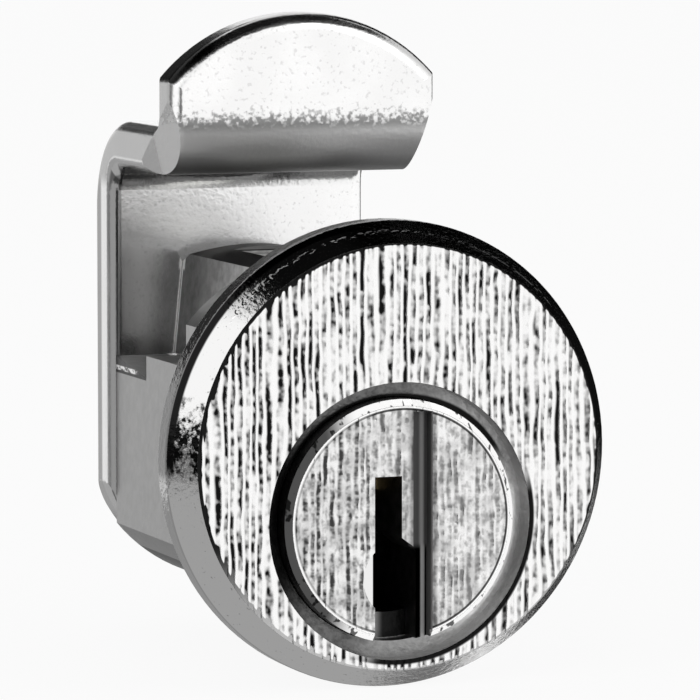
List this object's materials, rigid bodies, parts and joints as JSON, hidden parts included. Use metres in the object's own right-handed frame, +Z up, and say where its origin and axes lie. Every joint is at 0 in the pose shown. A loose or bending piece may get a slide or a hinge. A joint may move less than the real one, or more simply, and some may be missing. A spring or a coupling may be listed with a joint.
{
  "type": "mailbox lock",
  "caption": "Round flanged pin-tumbler mailbox lock with a flat-sided barrel, open keyway and a thick hook-shaped cam.",
  "frame": {"origin": "where the barrel's axis crosses the flange's seat on the door", "axes": "+Y into the door along the barrel, +Z up towards the hook, +X to the right for someone putting the key in"},
  "size_m": [0.0244, 0.0306, 0.0347],
  "materials": {
    "shell": "bright nickel plate, coarse vertical brushed grain on the face",
    "plug": "bright nickel plate, fine vertical brushed grain on the face",
    "cam": "satin nickel plate over pressed sheet",
    "washers": "bright zinc plate",
    "screw": "bright zinc plate",
    "cover": "bright nickel plate on a rolled strip",
    "key_pins": "turned brass",
    "driver_pins": "turned brass",
    "springs": "drawn spring wire"
  },
  "bodies": {
    "shell": {"shell": "shell", "chamber_cover": "cover", "pin_spring_1": "springs", "pin_spring_2": "springs", "pin_spring_3": "springs", "pin_spring_4": "springs", "pin_spring_5": "springs"},
    "plug": {"plug": "plug", "stop_washer": "washers", "hook_cam": "cam", "lock_washer": "washers", "cam_screw": "screw"},
    "driver_1": {"driver_pin_1": "driver_pins"},
    "key_pin_1": {"key_pin_1": "key_pins"},
    "driver_2": {"driver_pin_2": "driver_pins"},
    "key_pin_2": {"key_pin_2": "key_pins"},
    "driver_3": {"driver_pin_3": "driver_pins"},
    "key_pin_3": {"key_pin_3": "key_pins"},
    "driver_4": {"driver_pin_4": "driver_pins"},
    "key_pin_4": {"key_pin_4": "key_pins"},
    "driver_5": {"driver_pin_5": "driver_pins"},
    "key_pin_5": {"key_pin_5": "key_pins"}
  },
  "joints": [
    {"name": "plug_turn", "type": "hinge", "parent": "shell", "child": "plug", "pos_m": [0, 0.009, -0.00331], "axis": [0, 1, 0], "range_deg": [0, 90]},
    {"name": "driver_1_slide", "type": "slide", "parent": "shell", "child": "driver_1", "axis": [0, 0, 1], "range_m": [-0.0016, 0], "stiffness_N_per_m": 150, "springref_m": -0.0035, "deforming": ["pin_spring_1"]},
    {"name": "key_pin_1_slide", "type": "slide", "parent": "plug", "child": "key_pin_1", "axis": [0, 0, 1], "range_m": [-0.0016, 0]},
    {"name": "driver_2_slide", "type": "slide", "parent": "shell", "child": "driver_2", "axis": [0, 0, 1], "range_m": [-0.0016, 0], "stiffness_N_per_m": 150, "springref_m": -0.0035, "deforming": ["pin_spring_2"]},
    {"name": "key_pin_2_slide", "type": "slide", "parent": "plug", "child": "key_pin_2", "axis": [0, 0, 1], "range_m": [-0.0016, 0]},
    {"name": "driver_3_slide", "type": "slide", "parent": "shell", "child": "driver_3", "axis": [0, 0, 1], "range_m": [-0.0016, 0], "stiffness_N_per_m": 150, "springref_m": -0.0035, "deforming": ["pin_spring_3"]},
    {"name": "key_pin_3_slide", "type": "slide", "parent": "plug", "child": "key_pin_3", "axis": [0, 0, 1], "range_m": [-0.0016, 0]},
    {"name": "driver_4_slide", "type": "slide", "parent": "shell", "child": "driver_4", "axis": [0, 0, 1], "range_m": [-0.0016, 0], "stiffness_N_per_m": 150, "springref_m": -0.0035, "deforming": ["pin_spring_4"]},
    {"name": "key_pin_4_slide", "type": "slide", "parent": "plug", "child": "key_pin_4", "axis": [0, 0, 1], "range_m": [-0.0016, 0]},
    {"name": "driver_5_slide", "type": "slide", "parent": "shell", "child": "driver_5", "axis": [0, 0, 1], "range_m": [-0.0016, 0], "stiffness_N_per_m": 150, "springref_m": -0.0035, "deforming": ["pin_spring_5"]},
    {"name": "key_pin_5_slide", "type": "slide", "parent": "plug", "child": "key_pin_5", "axis": [0, 0, 1], "range_m": [-0.0016, 0]}
  ],
  "couplings": [
    {"joint": "key_pin_1_slide", "follows": "driver_1_slide", "ratio": 1},
    {"joint": "key_pin_2_slide", "follows": "driver_2_slide", "ratio": 1},
    {"joint": "key_pin_3_slide", "follows": "driver_3_slide", "ratio": 1},
    {"joint": "key_pin_4_slide", "follows": "driver_4_slide", "ratio": 1},
    {"joint": "key_pin_5_slide", "follows": "driver_5_slide", "ratio": 1}
  ]
}
